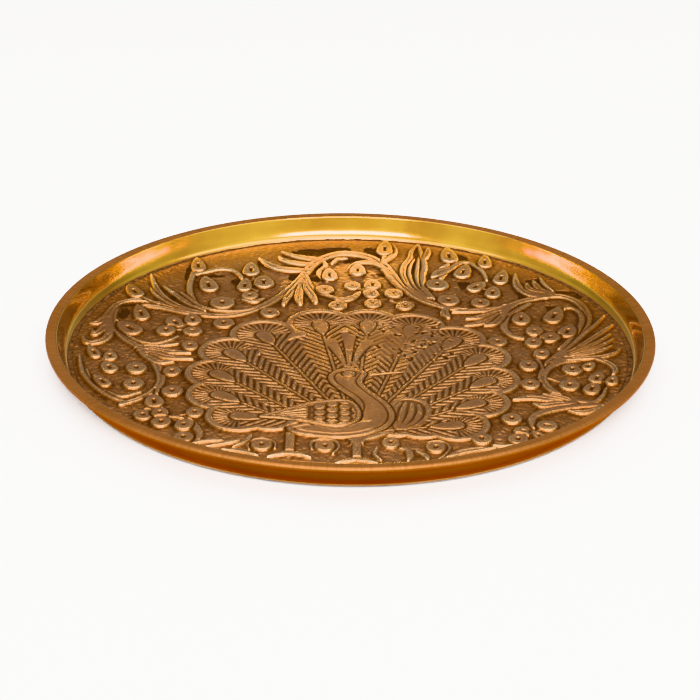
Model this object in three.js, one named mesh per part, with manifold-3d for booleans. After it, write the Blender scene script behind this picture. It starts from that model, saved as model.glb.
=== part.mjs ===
// A round brass tray, 200 mm across: a turned dish with a thick flat rim, an embossed disc let
// into its floor, and the seam of solder between the two.
// Millimetres, +Z up. The origin is the middle of the flat underside.
import * as THREE from "three";
import { mergeVertices } from "three/addons/utils/BufferGeometryUtils.js";
import Module from "manifold-3d";

const wasm = await Module();
wasm.setup();

// Driving dimensions
const RIM_RADIUS = 100;          // outside of the rim, the widest part
const HEIGHT = 11;               // underside to the top of the rim
const BASE_RADIUS = 89;          // flat underside
const RIM_WIDTH = 3.8;           // flat top of the rim
const RIM_FALL = 0.4;            // the top of the rim falls this much towards the inside
const RIM_EDGE_RADIUS = 0.9;     // rounding of the rim's outer edge
const FLOOR_THICKNESS = 1.5;     // the dish under the disc
const RECESS_RADIUS = 93.2;      // the seat that the disc drops into
const RECESS_DEPTH = 2;          // from the foot of the wall down to the seat
const PANEL_THICKNESS = 1.2;     // the embossed disc, without its raised pattern
const PANEL_RADIUS = 91.4;
const FIT_GAP = 0.3;             // clearance between neighbouring pieces
const PANEL_TOP = FLOOR_THICKNESS + FIT_GAP + PANEL_THICKNESS;
const SEAM_SINK = 0.3;           // the solder lies this much below the foot of the wall
const SEAM_SAG = 0.25;           // its middle sags this much lower, and its inner edge a little
const SEAM_SETTLE = 0.1;
const TURN_STEPS = 96;           // facets around

// Curves of the wall, as [radius, height]: a point that the curve reaches, and its handles
const LIP_RADIUS = RIM_RADIUS - RIM_WIDTH;
const FOOT_Z = FLOOR_THICKNESS + RECESS_DEPTH;
const OUTER_TOP = [RIM_RADIUS - 3.4, HEIGHT - 4.2];
const OUTER_HANDLES = [[BASE_RADIUS + 4.5, 1.4], [RIM_RADIUS - 4.6, 3.6]];
const FLARE_HANDLE = [RIM_RADIUS - 2.6, HEIGHT - 2.6];
const INNER_TOP = [LIP_RADIUS - 0.7, HEIGHT - 2.4];
const INNER_HANDLES = [[LIP_RADIUS - 1.1, HEIGHT - 5], [LIP_RADIUS - 1.5, FOOT_Z + 1]];
const OUTER_STEPS = 5;
const INNER_STEPS = 4;

const BRASS = { color: 0xc79545, roughness: 0.22, metalness: 1 };
const ANTIQUED_BRASS = { color: 0x9c6c38, roughness: 0.42, metalness: 1 };
const BLACKENED_SOLDER = { color: 0x3a2a1e, roughness: 0.8, metalness: 0.6 };

function named(name, geometry, finish) {
  const mesh = new THREE.Mesh(geometry, new THREE.MeshStandardMaterial(finish));
  mesh.name = name;
  return mesh;
}

// LatheGeometry turns about Y: this stands the turned shape up on Z.
function turned(profile) {
  const geometry = new THREE.LatheGeometry(profile, TURN_STEPS);
  geometry.rotateX(Math.PI / 2);
  return geometry;
}

// The dish: flat underside, a wall that leans out in one soft curve to the rim, the rim's rounded
// edge and flat top, the steep inner wall with its fillet, and the seat for the disc.
function dish() {
  const edgeX = RIM_RADIUS - RIM_EDGE_RADIUS;
  const edgeZ = HEIGHT - RIM_EDGE_RADIUS;

  const outside = new THREE.Path();
  outside.moveTo(0, 0);
  outside.lineTo(BASE_RADIUS, 0);
  outside.bezierCurveTo(...OUTER_HANDLES.flat(), ...OUTER_TOP);
  outside.quadraticCurveTo(...FLARE_HANDLE, edgeX, edgeZ - RIM_EDGE_RADIUS);
  outside.absarc(edgeX, edgeZ, RIM_EDGE_RADIUS, -Math.PI / 2, Math.PI / 2, false);

  const inside = new THREE.Path();
  inside.moveTo(LIP_RADIUS, HEIGHT - RIM_FALL);
  inside.lineTo(...INNER_TOP);
  inside.bezierCurveTo(...INNER_HANDLES.flat(), RECESS_RADIUS, FOOT_Z);
  inside.lineTo(RECESS_RADIUS, FLOOR_THICKNESS);
  inside.lineTo(0, FLOOR_THICKNESS);

  const profile = [...outside.getPoints(OUTER_STEPS), ...inside.getPoints(INNER_STEPS)];
  return turned(profile);
}

// Everything raised is drawn on the disc in millimetres, seen from above, feet of the bird at -Y.
// The tail: for each feather the middle and radius of its lobe, then the foot of its rib.
const FEATHERS = [
  [-34, -53, 8.3, -24, -54], [-41, -38.5, 8.4, -24, -51], [-42.5, -23.5, 8.4, -17, -49],
  [-39, -7.5, 8.8, -9, -47], [-29, 6.5, 9.2, -4, -47], [-10.3, 15.5, 9.3, -1.5, -42],
  [6, 16.5, 8.7, 2, -42], [21, 13.5, 8.9, 8, -42], [34.5, 3.8, 8.8, 11, -44],
  [42, -9.3, 8.6, 14, -47], [44.2, -26, 8.2, 17, -51], [40, -42, 8.2, 19, -55],
  [32.5, -57.3, 8.4, 18, -60],
];
const FAN_MIDDLE = [[0, -24, 34.5], [-24, -53, 8.5], [14, -56, 8.5], [22, -57, 8.5]];
const BAND = 2.3;                // width of the scalloped border of the tail
const INNER_BAND = 1;            // width that is left of it where only the middle of the fan runs
const CLEARING = [12, 9, 5];     // width cleared of border along a rib: head, middle, foot
const RIB = [1.1, 1.1, 0.8];     // width of a rib: head, middle, foot
const EYE = { width: 5.6, length: 11, inset: 2 };
const BARB = [1, 0.9, 0.6];      // width of a barb: root, middle, tip
const BARB_PAIRS = 3;
const BARB_REACH = 3.4;
const BARB_START = 7;            // the barbs keep this far from the head of the rib
const BARB_END = 5;              // and this far from its foot

const BODY = [
  [-0.5, -17.8], [5.4, -22.3], [4, -28.5], [8.8, -38], [13.9, -50], [9.6, -62], [-3, -67.2],
  [-17, -64.4], [-14, -58], [1, -51], [0.9, -40], [-6, -29.5], [-5, -20.3],
];
const WING = [
  [-28, -53.2], [-13, -43.4], [-0.5, -41.3], [3.7, -51], [-1, -59.4], [-10, -58.8], [-21, -54.7],
];
const SHELL = [[14.5, -61], [12.8, -50], [18.6, -40], [24.5, -47], [21.2, -57.2]];
const THIGH = [[-2, -66], [4, -66.5], [14, -62], [5, -69], [3.8, -73], [0.8, -73]];
const BEAK = [[3.5, -23.5], [11, -22], [19, -20.2]];
const BEAK_WIDTHS = [1.8, 1, 0.4];
const CREST = [
  [[-1.5, -17], [-3.6, -8], [-6.6, 2]],
  [[-0.3, -17], [-0.4, -5], [-0.6, 6]],
  [[1, -17], [2.8, -7], [5.6, 1.5]],
];
const PETAL_WIDTHS = [0.9, 2.6, 4.6];
const LEGS = [[-17.8, -60, -77.5], [2.3, -70, -81]];       // x, top and foot
const LEG_WIDTHS = [2.7, 2.7, 2.9];
const FOOT = [[-6.4, -2.3], [0, 0.3], [6.4, -2.3]];        // measured from the end of the leg
const FOOT_WIDTHS = [0.6, 2.6, 0.6];

// Stems: widths at the start, the middle and the end, then the points
const STEMS = [
  [1.6, 3.2, 3, [[-72, 28.8], [-57, 23.6], [-40, 22.2], [-26.5, 35], [-17, 57]]],
  [2, 2.8, 2, [[-80.5, 28], [-79.5, 11], [-69.5, -5], [-61.8, -21], [-61.5, -36], [-71, -46.5]]],
  [3, 4.2, 2.8, [[-17, 57], [-10.5, 72.5], [0, 77.6], [11, 68], [16, 53], [25.5, 36], [33.5, 29.5]]],
  [2.4, 3.4, 2.4, [
    [33.5, 29.5], [48, 29.2], [60.5, 37.2], [73.5, 41.5], [80.8, 28], [75, 4], [63, -18.5], [63.8, -32.5],
    [72.5, -41.5],
  ]],
  [1.4, 1.8, 2.2, [[-29.5, 33], [-43, 25.2], [-53.5, 31.5], [-57, 48], [-56.5, 58]]],
  [2, 2.2, 1.2, [[-55.5, 57], [-47, 61.8], [-39.8, 56.5], [-38.6, 52.3]]],
  [2, 2.5, 1.4, [[14.3, 58.5], [8.2, 68.5], [1, 67.3], [0.8, 58]]],
  [1.4, 2.2, 1.2, [[31, 52], [37, 67], [44.8, 68], [48.3, 54.5]]],
  [1.8, 2.4, 1.6, [[62, 34.5], [52.8, 20.5], [54.5, 7.5], [59, 5.3]]],
  [1.8, 3, 1.8, [[79, -43], [65.5, -45.5], [56.3, -53], [56.3, -58.5]]],
  [1.2, 2, 1.2, [[-85, -22], [-77.5, -37.5], [-66, -38]]],
];

// Leaf fingers: widest part, then the foot, the belly and the tip
const LEAF_FOOT = 0.4;           // width at the foot, as a share of the widest part
const LEAF_TIP = 0.5;
const LEAVES = [
  [3.6, [[-12, 71], [-20, 74.5], [-25.8, 79]]], [3.2, [[-14.5, 66.5], [-21, 68.5], [-26.5, 74.5]]],
  [4, [[-15.8, 61.5], [-26.5, 63.5], [-33.5, 72.5]]], [2.8, [[-17.5, 54], [-20.5, 42], [-23.3, 31]]],
  [2.8, [[-17.2, 52], [-18.3, 40], [-17.5, 31.5]]], [2.8, [[-16.6, 52], [-14.5, 41], [-12.2, 33]]],
  [2.6, [[27, 38], [18.6, 60], [24.6, 87]]], [2.2, [[29, 38], [25.4, 60], [24.8, 80]]],
  [4, [[68, 40.8], [59.4, 47], [58.8, 61]]], [3.2, [[70.5, 43], [66, 48.5], [64.8, 56]]],
  [3.6, [[57, 32.5], [46, 29], [35, 26.3]]], [3.6, [[55, 29.5], [48, 21.5], [38.8, 15.2]]],
  [2.2, [[67, -9], [78.5, 10], [86, 23]]], [2.2, [[68, -9.4], [81, 4], [87, 11]]],
  [2.4, [[69, -9.8], [80, -4.5], [87, 1]]], [3.8, [[71, -41.5], [61, -39], [51.5, -40]]],
  [3, [[29, -78.5], [36, -74], [44, -72.3]]], [3.4, [[-81.5, 12], [-82, 0.5], [-88, 0]]],
  [3.6, [[-71, -5], [-62, -7], [-52.5, -9]]], [3.6, [[-69, -8], [-61, -12], [-51.5, -13.6]]],
  [2.6, [[-51, 23.5], [-65, 37], [-71.3, 56]]], [2.4, [[-50, 25], [-58.5, 34], [-66, 45.5]]],
];

// Buds: place, width, length and the lean of the point, in degrees to the left
const BUDS = [
  [12.2, 83, 6, 12, -4], [35.6, 77, 6.4, 13, 4], [40.2, 62, 6, 12, -14], [48.5, 71, 5.2, 11, -4],
  [53.6, 57, 5.4, 12, -12], [-7.8, 57.5, 5.4, 10, 4], [2.3, 61, 5.6, 9.5, 0], [-55.3, 65, 5.4, 12, 8],
  [-50.5, 47.6, 6.4, 12, 14], [-36, 61, 6, 11, 4], [-31, 48, 6.6, 9.5, 8], [-76, 41, 5.4, 11, 25],
  [-74.5, 10, 6.6, 11, 38], [-71.8, 21, 5.4, 12, 15], [69.8, 22, 6, 13, -18],
];

// Berries: place and width
const BERRIES = [
  [0.5, 48, 5.6], [7.6, 49, 6], [-9.3, 44.6, 6.4], [7, 41, 5.6], [15, 41.8, 6.4], [-4.5, 31, 6.4],
  [7.6, 32.5, 5.8], [18.8, 31, 6], [30.5, 50, 8], [34, 36.4, 7.4], [45, 34.6, 6.6], [-27.8, 24.2, 6.4],
  [-35.3, 38.4, 5.8], [-44.5, 31.8, 8.2], [-59.4, 14.8, 6], [-62, 7.6, 6.2], [-53, 8.2, 6], [-43, 15, 7],
  [58.2, 20.6, 6.4], [62, 11.6, 5.6], [61, 2, 5.6], [58, -15, 6.2], [57.5, -28.6, 6.4],
  [72, -17.6, 6.4], [70, -29.2, 6.4], [60.5, -57.6, 6], [51, -66.6, 6], [26, -72.5, 6], [-7.3, -72.6, 6],
  [-26.2, -72.2, 6.4], [-69, -20.6, 6.4], [-57.3, -22.8, 6], [-68.7, -32, 6.4], [-63.5, -53.8, 6],
  [-50, -68, 6.2],
];

const LOBE_SIDES = 20;
const BERRY_SIDES = 10;
const BUD_SIDES = 6;
const BUD_SHOULDER = 0.05 * Math.PI;   // the round end of a bud runs this far past the half circle
const LEAST_WIDTH = 0.3;
const CUTTER_RISE = 2;           // cutters stand clear of what they cut
const SINK = 0.4;                // how deep the roots of the raised parts run into the blank
const RISE = {
  barb: 0.6, rib: 0.65, crest: 0.7, leaf: 0.75, eye: 0.75, shell: 0.78, leg: 0.8, thigh: 0.82,
  stem: 0.85, band: 0.85, body: 0.9, berry: 0.95, wing: 1,
};

function solid(geometry) {
  geometry.deleteAttribute("normal");
  geometry.deleteAttribute("uv");
  const merged = mergeVertices(geometry);
  const mesh = new wasm.Mesh({
    numProp: 3,
    vertProperties: merged.attributes.position.array,
    triVerts: merged.index.array,
  });
  return new wasm.Manifold(mesh);
}

// A flat-topped part of the pattern, standing on the blank.
function raised(outline, rise) {
  const shape = new THREE.Shape(outline);
  const geometry = new THREE.ExtrudeGeometry(shape, { depth: SINK + rise, bevelEnabled: false });
  geometry.translate(0, 0, PANEL_TOP - SINK);
  return solid(geometry);
}

function disc(x, y, radius, sides, rise) {
  const geometry = new THREE.CylinderGeometry(radius, radius, SINK + rise, sides);
  geometry.rotateX(Math.PI / 2);
  geometry.translate(x, y, PANEL_TOP - SINK + (SINK + rise) / 2);
  return solid(geometry);
}

function joined(parts) {
  return parts.reduce((sum, part) => sum.add(part));
}

function rounded(points, rise, perPoint) {
  const curve = new THREE.CatmullRomCurve3(points.map(([x, y]) => new THREE.Vector3(x, y, 0)), true);
  const outline = curve.getPoints(points.length * perPoint).slice(0, -1);
  return raised(outline.map(({ x, y }) => new THREE.Vector2(x, y)), rise);
}

// A line of changing width: the two sides of a curve through the points. The widths are those at
// the start, the middle and the end.
function ribbon(points, [start, middle, end], rise, steps) {
  const curve = new THREE.SplineCurve(points.map(([x, y]) => new THREE.Vector2(x, y)));
  const left = [];
  const right = [];
  for (let i = 0; i <= steps; i += 1) {
    const t = i / steps;
    const width = start * (1 - t) * (1 - 2 * t) + 4 * middle * t * (1 - t) + end * t * (2 * t - 1);
    const half = Math.max(width, LEAST_WIDTH) / 2;
    const place = curve.getPoint(t);
    const along = curve.getTangent(t);
    left.push(new THREE.Vector2(place.x - along.y * half, place.y + along.x * half));
    right.unshift(new THREE.Vector2(place.x + along.y * half, place.y - along.x * half));
  }
  return raised([...left, ...right], rise);
}

// Round at one end and drawn out to a point at the other.
function bud(x, y, width, length, lean, rise) {
  const radius = width / 2;
  const outline = [];
  for (let i = 0; i <= BUD_SIDES; i += 1) {
    const angle = Math.PI - BUD_SHOULDER + (Math.PI + 2 * BUD_SHOULDER) * (i / BUD_SIDES);
    outline.push(new THREE.Vector2(radius * Math.cos(angle), radius * Math.sin(angle)));
  }
  outline.push(new THREE.Vector2(0, length - radius));
  const middle = new THREE.Vector2(0, (length - width) / 2);
  const turn = THREE.MathUtils.degToRad(lean);
  const placed = outline.map((point) => {
    const moved = point.clone().sub(middle).rotateAround(new THREE.Vector2(0, 0), turn);
    return moved.add(new THREE.Vector2(x, y));
  });
  return raised(placed, rise);
}

// Barbs lean back from the rib on both sides, like the strokes of an arrow's feather.
function barbs([x, y], [ux, uy], length) {
  const strokes = [];
  for (let k = 1; k <= BARB_PAIRS; k += 1) {
    const run = BARB_START + (length - BARB_START - BARB_END) * (k - 0.5) / BARB_PAIRS;
    const root = [x + ux * run, y + uy * run];
    for (const side of [-1, 1]) {
      const tip = [root[0] - (ux + uy * side) * BARB_REACH, root[1] - (uy - ux * side) * BARB_REACH];
      strokes.push(ribbon([root, tip], BARB, RISE.barb, 1));
    }
  }
  return strokes;
}

// Scalloped border, feather ribs with their barbs, and an eye at the head of each feather.
function tail() {
  const whole = [];
  const inside = [];
  const lines = [];
  for (const [x, y, radius, footX, footY] of FEATHERS) {
    const length = Math.hypot(footX - x, footY - y);
    const ux = (footX - x) / length;
    const uy = (footY - y) / length;
    const rib = [[x, y], [footX, footY]];
    const lean = THREE.MathUtils.radToDeg(Math.atan2(-ux, uy));
    whole.push(disc(x, y, radius, LOBE_SIDES, RISE.band));
    inside.push(disc(x, y, radius - BAND, LOBE_SIDES, CUTTER_RISE));
    inside.push(ribbon(rib, CLEARING, CUTTER_RISE, 1));
    lines.push(ribbon(rib, RIB, RISE.rib, 1));
    lines.push(bud(x + EYE.inset * ux, y + EYE.inset * uy, EYE.width, EYE.length, lean, RISE.eye));
    lines.push(...barbs([x, y], [ux, uy], length));
  }
  for (const [x, y, radius] of FAN_MIDDLE) {
    whole.push(disc(x, y, radius, LOBE_SIDES, RISE.band));
    inside.push(disc(x, y, radius - INNER_BAND, LOBE_SIDES, CUTTER_RISE));
  }
  const border = joined(whole).subtract(joined(inside));
  return [border, ...lines];
}

function bird() {
  const parts = [
    rounded(SHELL, RISE.shell, 3),
    rounded(THIGH, RISE.thigh, 2),
    rounded(BODY, RISE.body, 3),
    rounded(WING, RISE.wing, 3),
    ribbon(BEAK, BEAK_WIDTHS, RISE.crest, 4),
  ];
  for (const petal of CREST) {
    parts.push(ribbon(petal, PETAL_WIDTHS, RISE.crest, 5));
  }
  for (const [x, top, end] of LEGS) {
    const foot = FOOT.map(([dx, dy]) => [x + dx, end + dy]);
    parts.push(ribbon([[x, top], [x, end]], LEG_WIDTHS, RISE.leg, 1));
    parts.push(ribbon(foot, FOOT_WIDTHS, RISE.band, 6));
  }
  return parts;
}

function vines() {
  const parts = [];
  for (const [start, middle, end, points] of STEMS) {
    parts.push(ribbon(points, [start, middle, end], RISE.stem, 3 * points.length));
  }
  for (const [width, points] of LEAVES) {
    parts.push(ribbon(points, [LEAF_FOOT * width, width, LEAF_TIP], RISE.leaf, 4));
  }
  for (const [x, y, width, length, lean] of BUDS) {
    parts.push(bud(x, y, width, length, lean, RISE.berry));
  }
  for (const [x, y, width] of BERRIES) {
    parts.push(disc(x, y, width / 2, BERRY_SIDES, RISE.berry));
  }
  return parts;
}

// The embossed disc: a flat blank with the pattern standing on it, all one body.
function reliefPanel() {
  const blank = new THREE.CylinderGeometry(PANEL_RADIUS, PANEL_RADIUS, PANEL_THICKNESS, TURN_STEPS);
  blank.rotateX(Math.PI / 2);
  blank.translate(0, 0, PANEL_TOP - PANEL_THICKNESS / 2);
  const body = joined([solid(blank), ...tail(), ...bird(), ...vines()]);
  const mesh = body.getMesh();
  const geometry = new THREE.BufferGeometry();
  geometry.setAttribute("position", new THREE.BufferAttribute(mesh.vertProperties, 3));
  geometry.setIndex(new THREE.BufferAttribute(mesh.triVerts, 1));
  geometry.computeVertexNormals();
  return geometry;
}

// The solder: a ring that fills the groove between the disc and the foot of the wall.
function solderSeam() {
  const inner = PANEL_RADIUS + FIT_GAP;
  const outer = RECESS_RADIUS - FIT_GAP;
  const bottom = FLOOR_THICKNESS + FIT_GAP;
  const top = FOOT_Z - SEAM_SINK;
  const middle = (inner + outer) / 2;
  return turned([
    new THREE.Vector2(inner, bottom),
    new THREE.Vector2(outer, bottom),
    new THREE.Vector2(outer, top),
    new THREE.Vector2(middle, top - SEAM_SAG),
    new THREE.Vector2(inner, top - SEAM_SETTLE),
    new THREE.Vector2(inner, bottom),
  ]);
}

const tray = new THREE.Group();
tray.add(named("dish", dish(), BRASS));
tray.add(named("relief_panel", reliefPanel(), ANTIQUED_BRASS));
tray.add(named("solder_seam", solderSeam(), BLACKENED_SOLDER));

export default tray;
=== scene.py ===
"""A round brass tray with a polished wall and an embossed floor, on a plain pale table."""
import math
import bpy
import numpy as np
from mathutils import Matrix, Vector


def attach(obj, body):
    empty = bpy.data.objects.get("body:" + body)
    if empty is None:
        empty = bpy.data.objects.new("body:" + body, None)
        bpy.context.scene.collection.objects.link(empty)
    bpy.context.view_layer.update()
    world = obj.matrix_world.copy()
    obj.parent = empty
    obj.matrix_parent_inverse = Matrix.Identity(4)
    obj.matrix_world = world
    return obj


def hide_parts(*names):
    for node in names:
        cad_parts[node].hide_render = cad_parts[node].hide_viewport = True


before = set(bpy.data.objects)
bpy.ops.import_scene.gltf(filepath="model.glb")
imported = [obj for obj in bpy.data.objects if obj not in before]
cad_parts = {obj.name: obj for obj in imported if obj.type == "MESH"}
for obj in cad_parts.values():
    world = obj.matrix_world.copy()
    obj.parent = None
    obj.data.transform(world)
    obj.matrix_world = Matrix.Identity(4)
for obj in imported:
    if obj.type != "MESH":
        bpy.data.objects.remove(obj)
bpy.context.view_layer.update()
MM = 0.001

# ---------------- sizes, in millimetres
RIM_RADIUS = 100.0
HEIGHT = 11.0
BASE_RADIUS = 89.0
RIM_WIDTH = 3.8
RIM_FALL = 0.4
RIM_EDGE_RADIUS = 0.9
SEAT_Z = 1.5
FOOT_Z = 3.5
RECESS_RADIUS = 93.2
PANEL_RADIUS = 91.4
PANEL_UNDERSIDE = 1.8
GROUND_Z = 3.0  # the floor of the embossed disc, between the raised parts
VINE_HEIGHT = 0.85  # how far the leaves and berries stand over the ground
TAIL_HEIGHT = 0.45  # how far the feathers do
GRID = 0.25  # spacing of the points of the embossed surface

# ---------------- relief drawing
# The pattern is drawn in millimetres on the disc, seen from above, with the bird's feet at -Y. Its
# heights run from 0 on the ground to about 1 on the high parts, and panel_heights scales them.
COUNT = int(PANEL_RADIUS / GRID) + 2
AXIS = np.arange(-COUNT, COUNT + 1) * GRID
GRID_X, GRID_Y = np.meshgrid(AXIS, AXIS)
FAR = 1e3  # a distance past every edge
TINY = 1e-9  # keeps a division off zero
MARGIN = 1.2  # distances are worked out this far past an edge
SHOULDER = 0.5  # width of a sloping edge
SLOPE_START = 0.55  # in shoulders: where the slope starts, outside the outline
MOAT_START = 0.3  # in shoulders: where a moat starts, outside the outline
UNDERLAY = 0.4  # older work under a new shape is cut down to this share of its rise
CROWN_RUN = 1.6  # a back is fully round this far inside the edge
LEAST_HALF = 0.15  # half the width of the thinnest line
FINE_EDGE = 0.5  # width of the edge of an engraved line
GROOVE_WIDTH = 0.45
PIT_EDGE = 0.6  # width of the edge of the pit in a berry
BUD_FROM = 1.35  # what is longer than this many widths is drawn out to a point
relief = np.zeros_like(GRID_X)


def smooth(t):
    """0 below 0, 1 above 1, and an even S between."""
    t = np.clip(t, 0.0, 1.0)
    return t * t * (3.0 - 2.0 * t)


def spline(points, closed=False, steps=7):
    """A smooth curve through given points (Catmull-Rom)."""
    p = np.array(points, float)
    if closed:
        p = np.vstack([p[-1], p, p[0], p[1]])
    else:
        p = np.vstack([2 * p[0] - p[1], p, 2 * p[-1] - p[-2]])
    t = np.arange(steps)[:, None] / steps
    runs = []
    for a, b, c, d in zip(p[:-3], p[1:-2], p[2:-1], p[3:]):
        runs.append(0.5 * (2 * b + (c - a) * t + (2 * a - 5 * b + 4 * c - d) * t ** 2
                           + (3 * b - a - 3 * c + d) * t ** 3))
    if not closed:
        runs.append(p[-2][None, :])
    return np.vstack(runs)


def window(path, margin):
    """The part of the grid round a path, as a pair of slices."""
    low = np.floor((path.min(0) - margin) / GRID).astype(int) + COUNT
    high = np.ceil((path.max(0) + margin) / GRID).astype(int) + COUNT + 1
    low = np.clip(low, 0, 2 * COUNT)
    high = np.clip(high, 1, 2 * COUNT + 1)
    return slice(low[1], high[1]), slice(low[0], high[0])


def cells(a, b, reach, origin):
    """The steps of the grid within reach of a and b, counted from an origin."""
    low = int((min(a, b) - reach - origin) / GRID)
    high = int((max(a, b) + reach - origin) / GRID)
    return slice(max(low, 0), high + 2)


def edge_distance(path, half, margin):
    """Signed distance to a line of the given half width at each point: negative is inside."""
    win = window(path, half.max() + margin)
    left, front = AXIS[win[1].start], AXIS[win[0].start]
    out = np.full(GRID_X[win].shape, FAR)
    for a, b, half_a, half_b in zip(path[:-1], path[1:], half[:-1], half[1:]):
        reach = max(half_a, half_b) + margin
        cols = cells(a[0], b[0], reach, left)
        rows = cells(a[1], b[1], reach, front)
        x = GRID_X[win][rows, cols] - a[0]
        y = GRID_Y[win][rows, cols] - a[1]
        dx, dy = b - a
        t = np.clip((x * dx + y * dy) / (dx * dx + dy * dy + TINY), 0, 1)
        d = np.hypot(x - t * dx, y - t * dy) - (half_a + (half_b - half_a) * t)
        out[rows, cols] = np.minimum(out[rows, cols], d)
    return win, out


def outline_distance(points, margin):
    """Signed distance to a closed outline: negative is inside."""
    path = spline(points, closed=True)
    ring = np.vstack([path, path[:1]])
    win, d = edge_distance(ring, np.zeros(len(ring)), margin)
    x, y = GRID_X[win], GRID_Y[win]
    inside = np.zeros(x.shape, bool)
    for a, b in zip(ring[:-1], ring[1:]):
        crosses = (a[1] > y) != (b[1] > y)
        climb = np.where(crosses, b[1] - a[1], 1.0)
        inside ^= crosses & (x < a[0] + (y - a[1]) * (b[0] - a[0]) / climb)
    return win, np.where(inside, -np.abs(d), np.abs(d))


def widths(path, start, middle, end):
    """Half widths along a path from its full widths at the start, the middle and the end."""
    t = np.linspace(0, 1, len(path))
    return 0.5 * (start * (1 - t) * (1 - 2 * t) + 4 * middle * t * (1 - t) + end * t * (2 * t - 1))


def lift(win, d, rise, shoulder=SHOULDER, moat=0.0, crown=0.08):
    """Raises what is inside the distance d, with sloping edges and a slightly round back.

    A moat clears older work from a strip of that width outside the edge."""
    h = relief[win]
    if moat:
        outside = smooth((d - MOAT_START * shoulder) / moat)
        h = np.where(d < MOAT_START * shoulder, np.minimum(h, UNDERLAY * rise), h * outside)
    top = rise * smooth(SLOPE_START - d / shoulder) + crown * np.clip(-d / CROWN_RUN, 0, 1)
    relief[win] = np.maximum(h, np.where(d < SLOPE_START * shoulder, top, h))


def rib(points, start, middle, end, rise=0.85, moat=0.0, groove=0.0):
    """A raised line of changing width; its moat stays off its ends, its groove runs down its back."""
    path = spline(points)
    half = np.maximum(widths(path, start, middle, end), LEAST_HALF)
    shoulder = min(SHOULDER, 0.7 * half.max())
    if moat:
        fifth = len(path) // 5
        free = slice(fifth, len(path) - fifth)
        win, d = edge_distance(path[free], half[free], MARGIN)
        lift(win, d, 0.0, shoulder, moat, 0.0)
    win, d = edge_distance(path, half, MARGIN)
    lift(win, d, rise, shoulder)
    if groove:
        engrave(path[2:-2], GROOVE_WIDTH, groove)


def engrave(path, width, depth):
    """Cuts a fine line along a path."""
    win, d = edge_distance(path, np.full(len(path), width / 2), FINE_EDGE)
    relief[win] -= depth * smooth(0.5 - d / FINE_EDGE)


def groove_inside(win, d, inset, width, depth):
    """Cuts a line that follows an outline, so far inside it."""
    relief[win] -= depth * smooth(1 - np.abs(d + inset) / width)


def drop(x, y, width, length, tilt=0.0, rise=0.95, pit=0.8):
    """A berry, or a bud if long: round at one end and drawn out to a point at the other."""
    lean = math.radians(tilt)
    up = np.array([-math.sin(lean), math.cos(lean)])
    middle = np.array([x, y])
    t = np.linspace(0, 1, 12)
    if length > BUD_FROM * width:
        round_end = middle - up * (length - width) * 0.4
        path = round_end + np.outer(t, up) * (length - width / 2)
        half = width / 2 * (1 - t ** 2.2) + 0.2 * t
        pit_middle = round_end + up * (length - width) * 0.3
        pit_reach = 0.12
    else:
        path = middle + np.outer(t - 0.5, up) * (length - width)
        half = np.full(len(t), width / 2)
        pit_middle = middle
        pit_reach = 0.05
    win, d = edge_distance(path, half, MARGIN)
    lift(win, d, rise, moat=0.8)
    slot = pit_middle + np.outer(np.linspace(-pit_reach, pit_reach, 5), up) * length
    win, d = edge_distance(slot, np.full(len(slot), 0.07 * width), PIT_EDGE)
    relief[win] -= pit * smooth(0.6 - d / PIT_EDGE)


# The tail: one feather for each lobe, given by the middle of the lobe, its radius and the foot of
# the feather's rib, from the left wing tip round to the right.
FEATHERS = [
    (-34, -53, 8.3, -24, -54),
    (-41, -38.5, 8.4, -24, -51),
    (-42.5, -23.5, 8.4, -17, -49),
    (-39, -7.5, 8.8, -9, -47),
    (-29, 6.5, 9.2, -4, -47),
    (-10.3, 15.5, 9.3, -1.5, -42),
    (6, 16.5, 8.7, 2, -42),
    (21, 13.5, 8.9, 8, -42),
    (34.5, 3.8, 8.8, 11, -44),
    (42, -9.3, 8.6, 14, -47),
    (44.2, -26, 8.2, 17, -51),
    (40, -42, 8.2, 19, -55),
    (32.5, -57.3, 8.4, 18, -60),
]
FAN_FLOOR = [(-24, -53, 7.6), (0, -24, 33), (14, -56, 7.6), (22, -57, 7.5)]  # fills the fan's middle
BAND = 2.3  # width of the scalloped border round the tail
BARB_PITCH = 2.15
BARB_ANGLE = math.radians(43)
RIB_HALF = 0.42  # half the width of a feather's rib
RIB_CLEAR = 1.1  # the barbs stop this far from its middle line
RAY_STEP = math.radians(14)
RAYS_FROM = math.radians(98)  # the rays fill the head of a feather, round to this angle
EYE_WIDTH = 5.2
EYE_LENGTH = 11.0


def feather_line(cx, cy, foot_x, foot_y):
    """The length and direction of a feather, from the middle of its lobe to its foot."""
    length = math.hypot(foot_x - cx, foot_y - cy)
    return length, (foot_x - cx) / length, (foot_y - cy) / length


def feather_ridges(along, aside):
    """Heights of one feather: barbs on both sides of a rib, and rays round its head."""
    barbs = along * math.sin(BARB_ANGLE) + aside * math.cos(BARB_ANGLE)
    wave = 0.5 + 0.5 * np.cos(2 * math.pi * barbs / BARB_PITCH)
    angle = np.arctan2(aside, -along)
    rays = 0.5 + 0.5 * np.cos(2 * math.pi * angle / RAY_STEP)
    barbed = smooth((angle - RAYS_FROM) / 0.12)
    wave = wave * barbed + rays * (1 - barbed)
    ridge = 0.18 + 0.62 * smooth((wave - 0.12) / 0.6)
    stem = smooth((RIB_CLEAR - aside) / 0.35) * (along > 0)
    return np.where(aside < RIB_HALF, 0.75, ridge * (1 - stem) + 0.1 * stem)


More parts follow.
